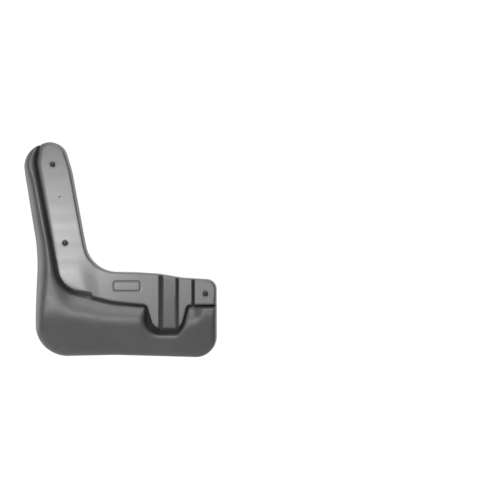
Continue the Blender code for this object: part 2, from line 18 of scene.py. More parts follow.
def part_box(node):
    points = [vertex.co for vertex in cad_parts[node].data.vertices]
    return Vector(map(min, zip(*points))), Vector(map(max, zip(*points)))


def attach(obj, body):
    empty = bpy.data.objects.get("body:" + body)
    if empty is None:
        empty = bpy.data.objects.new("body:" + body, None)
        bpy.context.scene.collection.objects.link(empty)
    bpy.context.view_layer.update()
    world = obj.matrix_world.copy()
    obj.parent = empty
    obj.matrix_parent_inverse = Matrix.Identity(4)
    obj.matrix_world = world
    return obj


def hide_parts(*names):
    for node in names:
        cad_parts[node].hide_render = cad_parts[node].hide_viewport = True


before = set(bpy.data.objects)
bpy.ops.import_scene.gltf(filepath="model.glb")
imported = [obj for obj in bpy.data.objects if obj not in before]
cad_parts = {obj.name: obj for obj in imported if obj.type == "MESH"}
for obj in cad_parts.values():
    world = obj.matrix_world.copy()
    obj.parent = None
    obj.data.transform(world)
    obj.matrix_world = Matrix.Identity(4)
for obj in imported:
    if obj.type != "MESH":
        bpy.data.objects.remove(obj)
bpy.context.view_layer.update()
MM = 0.001

# The moulding's levels and walls, as in the CAD. Here the body's slope below the shelf fades out more gently.
WALL = 3.0
FLANGE = 10.5
SKIRT_SPLAY = 0.8
LEG_GROOVE_DEPTH = 7.0
SHELF_GROOVE_DEPTH = 5.5
PLEAT_DEPTH = 7.0
LEAST_STEP = 1.0
RIM_RISE = 2.5
BELLY_RISE = 9.0
BELLY_LEAN = 0.25
CORNER_RISE = 1.6

# The leg's raised corner: where it begins to rise, and over how far. Its slope down to the shelf: the levels
# it changes between, and where it starts and how wide it is at each.
CORNER_TOP = -5.0
CORNER_LENGTH = 68.0
RIDGE_TOP = -30.0
RIDGE_FOOT = -80.0
RIDGE_START = (16.0, 30.0)
RIDGE_WIDTH = (34.0, 24.0)
# The body: where it begins to bulge and over how far, where it begins to lean back, and how softly (in square
# millimetres); and how far below the shelf it reaches its full height, and with what power it gets there.
BELLY_TOP = 10.0
BELLY_LENGTH = 125.0
LEAN_TOP = -116.0
LEAN_SOFTNESS = 320.0
SHELF_RUN = 48.0
SHELF_FADE = 3
# Where, in x, each of these begins and ends, both gradually: the shelf's shallower groove, the body's slope
# up from it, and the pocket's floor; and the levels between which that floor widens.
SHALLOW_SPAN = ((-10.0, 40.0), (118.0, 128.0))
SLOPE_SPAN = ((-20.0, 25.0), (196.0, 214.0))
FLOOR_SPAN = ((112.0, 122.0), (170.0, 186.0))
FLOOR_LEVELS = (-98.0, -124.0)

# The outline's corners, clockwise from the leg's top: x, z, corner radius, radius of the edge's roll, and
# height of the skirt's rim.
OUTLINE = (
    (-67.8, 146.0, 39, 10.0, -16),
    (-7.4, 162.1, 26, 3.0, -10),
    (8.2, 111.8, 144, 2.5, -8),
    (25.8, 15.7, 151, 2.5, -8),
    (37.9, -43.7, 49, 2.5, -8),
    (108.3, -45.2, 203, 2.5, -8),
    (142.1, -47.2, 63, 2.5, -8),
    (180.3, -53.6, 66, 4.0, -8),
    (233.2, -56.8, 16, 2.5, -10),
    (232.7, -179.1, 32, 9.0, -22),
    (74.1, -174.6, 410, 9.0, -22),
    (-48.2, -178.6, 48, 15.0, -22),
    (-46.7, -16.5, 353, 25.0, -22),
    (-52.7, 24.7, 301, 22.0, -22),
    (-64.0, 97.7, 122, 20.0, -20),
)
# The groove between flange and body, from the leg's top round to the tab's end: x, z, corner radius, then for
# the flange's side of it the wall's width, the wall's share of the height, and how far off the rounded
# shoulder ends.
GROOVE = (
    (-38.5, 160.0, 0, 3.0, 0.55, 9.0),
    (-46.6, 126.0, 60, 3.4, 0.60, 12.0),
    (-9.9, -71.8, 42, 6.0, 0.85, 14.0),
    (37.5, -82.9, 4, 8.5, 0.95, 11.0),
    (42.0, -84.8, 4, 2.8, 0.70, 6.0),
    (72.0, -92.6, 150, 2.8, 0.70, 6.0),
    (124.3, -97.4, 5, 2.4, 0.70, 5.5),
    (134.9, -133.2, 16, 2.2, 0.75, 5.0),
    (179.9, -133.2, 16, 2.2, 0.75, 5.0),
    (189.1, -97.2, 5, 2.2, 0.75, 5.0),
    (250.0, -97.2, 0, 2.4, 0.75, 5.5),
)
POCKET_CORNERS = slice(7, 9)
SHOULDER_CURVE = 3
# The body's side of the groove: its wall's width, the rounding of its edge, and the width and the fall of the
# floor below the pocket.
BODY_WALL = 2.2
EDGE_ROUND = 1.8
POCKET_FLOOR = 6.4
POCKET_FALL = 0.8
# The pleats that cross the flange beside the tab: left edge, right edge and lower end.
PLEATS = (
    (143.4, 151.6, -133.2),
    (169.7, 175.7, -133.2),
    (194.3, 200.4, -97.2),
)
PLEAT_CURVE = 1.3
PLEAT_OUT = 0.75
# The flange's panels between the pleats: left edge, right edge, and how far each lies below the flange at its
# top and at its foot.
PANELS = ((147.5, 172.7, 1.0, 5.0), (172.7, 197.3, 0.8, 1.6))
PANEL_TOP = -48.0
PANEL_FOOT = -133.0

# The fine surface's marks: an empty label frame engraved in the flange (middle, half size, corner radius),
# its line's half width and depth, and two small sunk dots (x, z, radius, rise).
LABEL = ((95.2, -67.0), (20.2, 7.6), 3.0)
LABEL_LINE = 0.8
LABEL_DEPTH = 0.35
DOTS = ((-8.5, 70.8, 1.2, -0.9), (38.5, -50.2, 1.1, -0.8))

# The fixings, and how far each screw's recess and each spring nut is turned about its axis.
FIXINGS = ("top", "mid", "tab")
RECESS_TURNS = {"top": 0.35, "mid": 1.1, "tab": -0.2}
NUT_TURNS = {"top": 0.0, "mid": 0.0, "tab": math.pi / 2}
# In the shell: the hole, the boss behind it and how far that stops below the flange's face, the sunk spot in
# front, and how far cutters reach past what they cut.
HOLE_RADIUS = 2.3
BOSS_RADIUS = 7.0
BOSS_SUNK = 1.5
SPOT_RADIUS = 4.7
SPOT_DEPTH = 0.6
CUTTER_PAST = 5.0

# The screws' main sizes are as in the CAD. GAP is the play between the fixings' pieces.
GAP = 0.3
SCREW_RADIUS = 1.95
SCREW_CORE = 1.45
SCREW_PITCH = 1.3
SCREW_LENGTH = 19.0
SCREW_POINT = 3.6
NECK_SHARE = 0.9
NECK_TAPER = 0.4
# The head: its dome's radius, share of the height and angle, and the rim below, as insets from the head's
# radius and heights above the seat.
HEAD_RADIUS = 3.75
HEAD_HEIGHT = 2.8
DOME_RADIUS = 0.985 * HEAD_RADIUS
DOME_SHARE = 0.68
DOME_ANGLE = math.radians(82)
DOME_STEPS = 12
HEAD_RIM = ((0.0, 0.3 * HEAD_HEIGHT), (0.0, 0.35), (0.1, 0.1), (0.35, 0.0))
# The recess's blades: size, its shares at the foot and at the mouth, and how far they reach past the head.
RECESS_LENGTH = 3.9
RECESS_WIDTH = 1.0
RECESS_DEPTH = 1.7
RECESS_FOOT = (0.55, 0.6)
RECESS_MOUTH = (1.12, 1.1)
RECESS_PAST = 0.6
# The wound thread: how far it starts below the seat and ends above the tip, the turns over which it runs in
# and out, how deep its root is sunk in the core, and its half heights at root, core and crest.
THREAD_START = 1.3
THREAD_END = 0.5
THREAD_RUN_IN = 0.75
THREAD_RUN_OUT = 0.8
THREAD_ROOT = 0.25
THREAD_LIFTS = (0.42, 0.36, 0.05)
THREAD_PAST = 0.4
AXIS_CLEAR = 0.02

WASHER_RADIUS = 4.0
WASHER_BORE = 2.2
WASHER_THICKNESS = 0.8
WASHER_SOFT = 0.12
WASHER_EDGE = 0.35

# The spring nuts: the strip, the gap between its legs, how far the bend and the tail reach from the axis, the
# flare at the rear leg's end (distance from the tail, drop), the front leg's opening and the rear leg's neck.
NUT_WIDTH = 12.0
NUT_SHEET = 0.8
NUT_GAP = 2.2
NUT_REACH = 9.0
NUT_TAIL = 8.0
NUT_FLAT = 2.0
NUT_FLARE = ((2.6, 0.0), (2.0, 0.08), (1.4, 0.3), (-0.5, 1.2))
NUT_CORNER = 2.2
NUT_SOFT = 0.12
NUT_SOFT_ANGLE = math.radians(50)
OPENING_RADIUS = 2.6
OPENING_DEPTH = 1.5
NECK_RADIUS = 3.1
NECK_HEIGHT = 1.2
NECK_OVERLAP = 0.3
NECK_BORE = 2.2
NUT_CUTTER_PAST = 1.0

# Colours and gloss.
BODY_DARK = (0.026, 0.0265, 0.027, 1)
BODY_LIGHT = (0.032, 0.0325, 0.033, 1)
# The flange's two colours are lighter than the body's: a painted sheen for the light its smoother face
# catches.
FLANGE_SHEEN_DARK = (0.039, 0.0395, 0.040, 1)
FLANGE_SHEEN_LIGHT = (0.049, 0.0495, 0.050, 1)
DUST = (0.35, 0.35, 0.34, 1)
BODY_ROUGHNESS = (0.37, 0.43)
FLANGE_ROUGHNESS = (0.285, 0.315)
SPECULAR = 0.5
STEEL_DARK = (0.02, 0.02, 0.022, 1)
STEEL_WORN = (0.16, 0.16, 0.16, 1)
STEEL_METALLIC = 0.55
STEEL_ROUGHNESS = (0.26, 0.44)
ZINC_GREY = (0.56, 0.57, 0.58, 1)
ZINC_YELLOW = (0.62, 0.59, 0.50, 1)
ZINC_ROUGHNESS = (0.24, 0.42)
FLOOR_DARK = (0.84, 0.84, 0.84, 1)
FLOOR_LIGHT = (0.88, 0.88, 0.88, 1)
FLOOR_ROUGHNESS = (0.75, 0.9)

# The camera: its sensor in millimetres, and in metres its distance, the width its view takes in at the
# flange's face, its middle in x and z, and its clipping.
SENSOR = 36.0
CAMERA_DISTANCE = 1.6
VIEW_WIDTH = 0.770
VIEW_CENTRE = (0.2849, -0.0108)
CLIP = (0.05, 50.0)
# The white surroundings: the directions in y between which they brighten, their levels there, and the level
# that the camera sees. The floor below.
WORLD_LEVELS = (-0.5, 0.7, 0.38, 1.02)
BACKDROP = 1.02
FLOOR_PLACE = (0.08, 0.1, -0.75)
FLOOR_RADIUS = 1.2
FLOOR_SIDES = 96
# The lights, in metres: name, place, target, size, and radiance relative to the surroundings.
LIGHTS = (
    ("front_left_softbox", (-0.34, -1.6, 0.02), (0.0, 0.0, 0.0), (0.26, 0.26), 52.0),
    ("front_softbox", (0.17, -1.6, -0.10), (0.1, 0.0, -0.07), (0.34, 0.14), 19.5),
    ("top_softbox", (0.05, -0.9, 1.3), (0.05, 0.0, -0.08), (1.8, 1.1), 4.6),
    ("upper_front_softbox", (0.1, -1.5, 0.8), (0.1, 0.0, -0.07), (0.7, 0.55), 5.5),
    ("left_side_softbox", (-1.5, 0.0, 0.0), (0.0, 0.0, 0.0), (1.5, 1.5), 2.8),
)

# The moulding's mesh: the steps along its outline, along its groove and of its open grid, and how far along
# the outline its values are smoothed.
OUTLINE_STEP = 2.2
VALUE_REACH = 14.0
GROOVE_STEP = 1.6
FIELD_STEP = 3.4
# On a path: how much of its shorter side a corner's arc may take up, how far past a step two points may lie
# apart, and the least share of a step between them.
ARC_SHARE = 0.998
STEP_SLACK = 0.2
STEP_LEAST = 0.05
# For the outer and the inner face: the rolled edge's rows as shares of its radius; the groove's rows as
# shares of the flange's wall and shoulder and of the body's wall and edge; and how far out all these lie.
FRONT_ROWS = (
    (0.02, 0.06, 0.12, 0.2, 0.3, 0.42, 0.56, 0.7, 0.85, 1.0),
    (0.12, 0.5, 0.88, 1.0),
    (0.08, 0.2, 0.35, 0.55, 0.8, 1.05),
    (0.15, 0.5, 0.85, 1.0),
    (0.25, 0.5, 0.8, 1.2, 1.8),
    0.0,
)
REAR_ROWS = ((0.1, 0.3, 0.6, 1.0), (0.0, 0.5, 1.0), (0.3, 1.0), (0.0, 0.5, 1.0), (0.5, 1.0), WALL)
PLEAT_SHARES = (-1.0, -0.88, -0.7, -0.45, -0.2, 0.0, 0.2, 0.45, 0.7, 0.88, 1.0)
# Where lines follow the pleats and the raised corner; in how many rounds the pocket floor's width is found,
# and from what width on it has a line of its own; and the least roll of the inner face's edge.
PLEAT_LINE_TOP = -36.0
RIDGE_LINE_LEVELS = (-46.0, RIDGE_FOOT)
FLOOR_ROUNDS = 6
FLOOR_LEAST = 0.8
REAR_ROLL_LEAST = 1.0
# How near the outline a line gets finer, and how much; how near it has to pass a point of the outline to end
# in it, and how far apart such points are; how far inside other points stay; how much a row may miss its
# inset; and, as shares of the grid's step, how far the grid stays from the rolled edge and the groove.
EDGE_REACH = 5.0
EDGE_PIECES = 4
MEETING_REACH = 0.15
CROSSINGS_APART = 0.25
EDGE_MARGIN = 0.3
ROW_SLACK = 0.3
GRID_CLEAR = (0.3, 0.6)
MERGE_DISTANCE = 1e-4
PARALLEL = 1e-9
# The marks' rows, as shares of the label's line and of a dot's radius, and how fine they are.
LABEL_ROWS = (-1.0, -0.5, 0.0, 0.5, 1.0)
LABEL_STEP = 0.9
DOT_ROWS = (0.25, 0.5, 0.75, 1.0, 1.4)
DOT_SIDES = 14
# How far from the groove's floor the smooth flange begins, and over how far.
FLANGE_BLEND = (1.0, 4.0)
# The hardware's mesh, and the angle past which any edge stays sharp.
TURN_STEPS = 64
THREAD_STEPS = 28
NUT_BEND_STEPS = 16
SHARP_ANGLE = math.radians(38)


def fixing_axis(name):
    """The x and z of a fixing's axis in millimetres, from its washer in the CAD."""
    low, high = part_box(f"washer_{name}")
    return (low.x + high.x) / 2 / MM, (low.z + high.z) / 2 / MM


def smooth(t):
    """0 below t = 0, 1 above t = 1, and a smooth rise between."""
    t = np.clip(t, 0.0, 1.0)
    return t * t * (3.0 - 2.0 * t)


def spanned(x, span):
    """1 where x is within a span, 0 outside it, and a smooth change at each of its ends."""
    (begins, begun), (ends, ended) = span
    return smooth((x - begins) / (begun - begins)) * (1 - smooth((x - ends) / (ended - ends)))


def rounded_path(corners, step, closed):
    """Points along a path whose corners are rounded, each with the corners' other values blended along it."""
    rows = [np.array(corner, float) for corner in corners]
    count = len(rows)
    path = []
    for i, row in enumerate(rows):
        if not closed and i in (0, count - 1):
            path.append(np.concatenate([row[:2], row[3:]]))
            continue
        here = row[:2]
        before = rows[i - 1][:2] - here
        after = rows[(i + 1) % count][:2] - here
        before_length = np.linalg.norm(before)
        after_length = np.linalg.norm(after)
        before = before / before_length
        after = after / after_length
        half = math.acos(float(np.clip(before @ after, -1, 1))) / 2
        reach = min(row[2] / math.tan(half), ARC_SHARE * min(before_length, after_length))
        radius = reach * math.tan(half)
        middle = here + (before + after) / np.linalg.norm(before + after) * (radius / math.sin(half))
        first = here + before * reach - middle
        last = here + after * reach - middle
        start = math.atan2(first[1], first[0])
        turn = (math.atan2(last[1], last[0]) - start + math.pi) % (2 * math.pi) - math.pi
        pieces = max(2, math.ceil(abs(turn) * radius / step))
        for k in range(pieces + 1):
            angle = start + turn * k / pieces
            point = middle + radius * np.array([math.cos(angle), math.sin(angle)])
            path.append(np.concatenate([point, row[3:]]))
    return even_path(np.array(path), step, closed)


def even_path(path, step, closed):
    """The path's own points, with more between any two that lie further apart than the step."""
    ends = np.roll(path, -1, axis=0) if closed else path[1:]
    out = []
    for a, b in zip(path, ends):
        pieces = max(1, math.ceil(np.linalg.norm(b[:2] - a[:2]) / step - STEP_SLACK))
        for k in range(pieces):
            out.append(a + (b - a) * k / pieces)
    if not closed:
        out.append(path[-1])
    out = np.array(out)
    far = np.linalg.norm(out[:, :2] - np.roll(out[:, :2], 1, axis=0), axis=1) > STEP_LEAST * step
    return out[far]


def eased(path, reach):
    """A closed path with the values along it smoothed over a reach."""
    steps = np.linalg.norm(np.roll(path[:, :2], -1, axis=0) - path[:, :2], axis=1)
    place = np.concatenate([[0.0], np.cumsum(steps)[:-1]])
    apart = np.abs(place[:, None] - place[None, :])
    apart = np.minimum(apart, steps.sum() - apart)
    weight = np.exp(-((apart / reach) ** 2)) * (steps + np.roll(steps, 1))[None, :]
    out = path.copy()
    out[:, 2:] = weight @ path[:, 2:] / weight.sum(axis=1)[:, None]
    return out


def measured(points, path, closed):
    """Signed distances of points from a path, positive on its right, and the path's values nearest them."""
    a = path if closed else path[:-1]
    b = np.roll(path, -1, axis=0) if closed else path[1:]
    along = b[:, :2] - a[:, :2]
    squared = (along**2).sum(axis=1)
    offset = points[:, None, :] - a[None, :, :2]
    t = np.clip((offset * along).sum(axis=2) / squared, 0, 1)
    gap = np.linalg.norm(offset - t[:, :, None] * along, axis=2)
    nearest = gap.argmin(axis=1)
    every = np.arange(len(points))
    t = t[every, nearest]
    offset = offset[every, nearest]
    along = along[nearest]
    side = np.sign(offset[:, 1] * along[:, 0] - offset[:, 0] * along[:, 1])
    values = a[nearest, 2:] * (1 - t[:, None]) + b[nearest, 2:] * t[:, None]
    return -side * gap[every, nearest], values


def shifted(path, distance):
    """A closed clockwise path moved inwards by a distance, or by one distance for each of its points."""
    along = np.roll(path[:, :2], -1, axis=0) - np.roll(path[:, :2], 1, axis=0)
    along /= np.linalg.norm(along, axis=1)[:, None]
    inwards = np.column_stack([along[:, 1], -along[:, 0]])
    moved = path.copy()
    moved[:, :2] += inwards * np.reshape(distance, (-1, 1))
    return moved


def ridge(z):
    """Where the leg's raised corner begins to fall away at a level, and how wide its slope is there."""
    low_down = smooth((RIDGE_TOP - z) / (RIDGE_TOP - RIDGE_FOOT))
    start = RIDGE_START[0] + (RIDGE_START[1] - RIDGE_START[0]) * low_down
    return start, RIDGE_WIDTH[0] + (RIDGE_WIDTH[1] - RIDGE_WIDTH[0]) * low_down


def flange_height(x, z, out):
    """The flange's height: level but for the leg's raised corner, the sunk panels and the pleats."""
    foot, width = ridge(z)
    on_leg = 1 - smooth((x - foot) / width)
    height = FLANGE + CORNER_RISE * smooth((CORNER_TOP - z) / CORNER_LENGTH) * on_leg
    down = np.clip((PANEL_TOP - z) / (PANEL_TOP - PANEL_FOOT), 0, 1)
    for left, right, top_drop, foot_drop in PANELS:
        height = np.where((x > left) & (x < right), height - top_drop - (foot_drop - top_drop) * down, height)
    for left, right, _ in PLEATS:
        half = (right - left) / 2 + out
        share = np.clip(1 - np.abs(x - (left + right) / 2) / half, 0, 1) ** PLEAT_CURVE
        height = height + (FLANGE - PLEAT_DEPTH - height) * share
    return height


def body_form(points, shelf):
    """At each point: the heights of the groove's floor and of the body, and the width of that floor."""
    x, z = points.T
    below = np.maximum(measured(points, shelf, False)[0], 0.0)
    depth = LEG_GROOVE_DEPTH - (LEG_GROOVE_DEPTH - SHELF_GROOVE_DEPTH) * spanned(x, SHALLOW_SPAN)
    crevice = FLANGE - depth

    leaning = LEAN_TOP - z
    lean = BELLY_LEAN * (leaning + np.sqrt(leaning**2 + LEAN_SOFTNESS)) / 2
    bulge = (BELLY_RISE - RIM_RISE) * smooth((BELLY_TOP - z) / BELLY_LENGTH)
    full = FLANGE + RIM_RISE + bulge - lean
    unrisen = (1 - np.minimum(below / SHELF_RUN, 1.0)) ** SHELF_FADE
    body = full - spanned(x, SLOPE_SPAN) * (full - crevice - LEAST_STEP) * unrisen

    widened = smooth((FLOOR_LEVELS[0] - z) / (FLOOR_LEVELS[0] - FLOOR_LEVELS[1]))
    return crevice, body, POCKET_FLOOR * spanned(x, FLOOR_SPAN) * widened


def walled(distance, wall, share, shoulder):
    """How far the flange's side of the groove has risen at a distance from its floor: wall, then shoulder."""
    straight = np.clip(distance / wall, 0, 1)
    rounded = 1 - (1 - np.clip(distance / shoulder, 0, 1)) ** SHOULDER_CURVE
    return share * straight + (1 - share) * rounded


def edged(distance):
    """How far the body's side of the groove has risen at a distance from its floor, with a rounded edge."""
    share = np.maximum(distance, 0) / BODY_WALL
    soft = EDGE_ROUND / BODY_WALL
    bent = (share + 1 - np.sqrt((share - 1) ** 2 + soft**2)) / 2
    start = (1 - np.sqrt(1 + soft**2)) / 2
    return (bent - start) / (1 - start)


def skin_height(points, groove, shelf, out=0.0):
    """The outer skin's height at each point, before its edges roll back.

    For the skin's inner face, the walls of the groove and of the pleats are moved out by a distance.
    """
    across, values = measured(points, groove, False)
    crevice, body, floor = body_form(points, shelf)
    low = crevice - POCKET_FALL * np.clip(across, 0, floor)
    outside = low + (body - low) * edged(across - out - floor)
    flange = flange_height(*points.T, PLEAT_OUT * out)
    inside = crevice + (flange - crevice) * walled(-across - out, *values.T)
    return np.where(across > 0, outside, inside)


def rolled(depth_in, roll):
    """How far an edge with this roll radius has dropped at a distance in from the outline."""
    share = 1 - np.clip(depth_in / roll, 0, 1)
    return roll * (1 - np.sqrt(np.clip(1 - share**2, 0, 1)))


def front_heights(points, outline, groove, shelf):
    """The outer face's height, rolled back at the outline."""
    depth_in, values = measured(points, outline, True)
    return skin_height(points, groove, shelf) - rolled(np.maximum(depth_in, 0), values[:, 0])


def rear_heights(points, outline, groove, shelf):
    """The inner face's height: a wall's thickness behind the outer face, also at the sides of its grooves."""
    depth_in, values = measured(points, outline, True)
    roll = np.maximum(values[:, 0] - WALL, REAR_ROLL_LEAST)
    return skin_height(points, groove, shelf, WALL) - WALL - rolled(np.maximum(depth_in, 0), roll)


def feature_lines(groove, shelf, rows):
    """Lines that a face's triangles follow: the groove's floor and sides, the raised corner, the pleats."""
    _, wall_shares, shoulder_shares, body_shares, round_shares, out = rows
    along = np.gradient(groove[:, :2], axis=0)
    along /= np.linalg.norm(along, axis=1)[:, None]
    to_body = np.column_stack([along[:, 1], -along[:, 0]])
    floor = np.full((len(groove), 1), 1.0)
    for _ in range(FLOOR_ROUNDS):
        floor = (floor + body_form(groove[:, :2] + to_body * floor, shelf)[2][:, None]) / 2
    wall = groove[:, 2:3]
    shoulder = groove[:, 4:5] - wall
    insets = [-out - share * wall for share in wall_shares]
    insets += [-out - wall - share * shoulder for share in shoulder_shares]
    insets += [out + floor + share * BODY_WALL for share in body_shares]
    insets += [out + floor + BODY_WALL + share * EDGE_ROUND for share in round_shares]
    lines = [groove[:, :2] + to_body * inset for inset in insets]
    floored = floor[:, 0] > FLOOR_LEAST
    lines.append((groove[:, :2] + to_body * (out + floor))[floored])
    if not out:
        lines.append(groove[:, :2])
    levels = np.arange(*RIDGE_LINE_LEVELS, -GROOVE_STEP)
    foot, width = ridge(levels)
    lines += [np.column_stack([foot + width * share, levels]) for share in (0.0, 0.5, 1.0)]
    for left, right, low in PLEATS:
        levels = np.arange(PLEAT_LINE_TOP, low, -GROOVE_STEP)
        half = (right - left) / 2 + PLEAT_OUT * out
        for share in PLEAT_SHARES:
            x = (left + right) / 2 + share * half
            lines.append(np.column_stack([np.full(len(levels), x), levels]))
    return lines


def field_points(outline, groove, rows):
    """Points inside the outline that no line passes through: rows along the rolled edge, and an open grid."""
    found = []
    for share in rows[0]:
        inset = outline[:, 2] * share
        moved = shifted(outline, inset)[:, :2]
        off = np.abs(measured(moved, outline, True)[0] - inset)
        keep = (inset > EDGE_MARGIN) & (off < ROW_SLACK)
        found.append(moved[keep])
    low = outline[:, :2].min(axis=0)
    high = outline[:, :2].max(axis=0)
    levels = np.arange(low[1], high[1], FIELD_STEP * math.sqrt(0.75))
    columns = np.arange(low[0], high[0], FIELD_STEP)
    grid = np.array([(x + (k % 2) * FIELD_STEP / 2, z) for k, z in enumerate(levels) for x in columns])
    depth_in, values = measured(grid, outline, True)
    clear = depth_in > values[:, 0] + GRID_CLEAR[0] * FIELD_STEP
    clear &= np.abs(measured(grid, groove, False)[0]) > GRID_CLEAR[1] * FIELD_STEP
    found.append(grid[clear])
    return np.vstack(found)


def finer_at_edge(line, outline):
    """A line with more points where it nears the outline."""
    near = measured(line, outline, True)[0] < EDGE_REACH
    found = [line[:1]]
    for k in range(1, len(line)):
        pieces = EDGE_PIECES if near[k - 1] or near[k] else 1
        shares = np.arange(1, pieces + 1)[:, None] / pieces
        found.append(line[k - 1] + (line[k] - line[k - 1]) * shares)
    return np.vstack(found)


def border_point(start, end, outline):
    """The index of the outline's point that a line from start towards end passes through, if any."""
    along = (end - start) / np.linalg.norm(end - start)
    offset = outline[:, :2] - start
    t = offset @ along
    off = np.linalg.norm(offset - t[:, None] * along, axis=1)
    off[(t < 0) | (t > EDGE_REACH)] = np.inf
    nearest = int(off.argmin())
    return nearest if off[nearest] < MEETING_REACH else None


def with_crossings(rim, insets, groove, shelf, rows):
    """The rim's path, with a point added wherever a feature line crosses it once moved in by an inset."""
    added = []
    for inset, kind in zip(insets, rows):
        moved = shifted(rim, inset)[:, :2]
        for line in feature_lines(groove, shelf, kind):
            added += crossings(line, moved)
    places = []
    for place in sorted(added):
        span = np.linalg.norm(rim[(int(place) + 1) % len(rim), :2] - rim[int(place), :2])
        from_last = (place - places[-1]) * span if places else 1.0
        to_corner = min(place % 1, 1 - place % 1) * span
        if from_last > CROSSINGS_APART and to_corner > CROSSINGS_APART:
            places.append(place)
    path = []
    for k, row in enumerate(rim):
        path.append(row)
        after = rim[(k + 1) % len(rim)]
        path += [row + (after - row) * (place - k) for place in places if int(place) == k]
    return np.array(path)


def crossings(line, border):
    """Where a line crosses a closed border: each as its edge's number plus how far along the edge."""
    first = (line[1:] - line[:-1])[:, None, :]
    second = (np.roll(border, -1, axis=0) - border)[None, :, :]
    offset = border[None, :, :] - line[:-1, None, :]
    turn = first[..., 0] * second[..., 1] - first[..., 1] * second[..., 0]
    turn = np.where(np.abs(turn) < PARALLEL, np.inf, turn)
    along = (offset[..., 0] * second[..., 1] - offset[..., 1] * second[..., 0]) / turn
    across = (offset[..., 0] * first[..., 1] - offset[..., 1] * first[..., 0]) / turn
    met = (along >= 0) & (along <= 1) & (across >= 0) & (across < 1) & np.isfinite(turn)
    return [float(k + t) for k, t in zip(np.nonzero(met)[1], across[met])]


def sheet(outline, groove, shelf, rows, more=()):
    """A flat sheet of triangles inside the outline: its points, its faces, and the outline's points in it."""
    points = [Vector(point) for point in outline[:, :2]]
    edges = [(i, (i + 1) % len(outline)) for i in range(len(outline))]
    for line in feature_lines(groove, shelf, rows):
        line = finer_at_edge(line, outline)
        inside = measured(line, outline, True)[0] > EDGE_MARGIN
        for i, point in enumerate(line):
            if not inside[i]:
                continue
            points.append(Vector(point))
            if i and inside[i - 1]:
                edges.append((len(points) - 2, len(points) - 1))
            for beyond in (i - 1, i + 1):
                if 0 <= beyond < len(line) and not inside[beyond]:
                    met = border_point(point, line[beyond], outline)
                    edges += [(met, len(points) - 1)] if met is not None else []
    points += [Vector(point) for point in field_points(outline, groove, rows)]
    points += [Vector(point) for point in more]
    corners, _, faces, sources, _, _ = delaunay_2d_cdt(points, edges, [], 1, MERGE_DISTANCE)
    place = {old: new for new, olds in enumerate(sources) for old in olds}
    border = [place[i] for i in range(len(outline))]
    return np.array([corner[:] for corner in corners]), [tuple(face) for face in faces], border


def in_world(points, heights):
    """Points of the front view, with their heights, as places in the world."""
    return [Vector((x, -h, z)) * MM for (x, z), h in zip(points, heights)]


def add_marks(points, heights):
    """The outer face's heights with its marks: the label frame's engraved line and the sunk dots."""
    x, z = points.T
    (middle_x, middle_z), (half_x, half_z), radius = LABEL
    away_x = np.maximum(np.abs(x - middle_x) - half_x + radius, 0)
    away_z = np.maximum(np.abs(z - middle_z) - half_z + radius, 0)
    inner = np.maximum(np.abs(x - middle_x) - half_x, np.abs(z - middle_z) - half_z)
    from_line = np.where((away_x > 0) & (away_z > 0), np.hypot(away_x, away_z) - radius, inner)
    heights = heights - LABEL_DEPTH * (1 - smooth(np.abs(from_line) / LABEL_LINE))
    for dot_x, dot_z, dot_radius, rise in DOTS:
        heights = heights + rise * (1 - smooth(np.hypot(x - dot_x, z - dot_z) / dot_radius))
    return heights


def mark_points():
    """Points that the surface needs at its marks."""
    (middle_x, middle_z), (half_x, half_z), radius = LABEL
    found = []
    for share in LABEL_ROWS:
        grow = share * LABEL_LINE
        corners = [
            (middle_x + sx * (half_x + grow), middle_z + sz * (half_z + grow), radius + grow)
            for sx, sz in ((-1, 1), (1, 1), (1, -1), (-1, -1))
        ]
        found.append(rounded_path(corners, LABEL_STEP, True)[:, :2])
    angles = np.arange(DOT_SIDES) * math.tau / DOT_SIDES
    for dot_x, dot_z, dot_radius, _ in DOTS:
        for share in DOT_ROWS:
            ring = np.column_stack([np.cos(angles), np.sin(angles)]) * dot_radius * share
            found.append(ring + (dot_x, dot_z))
    return np.vstack(found)


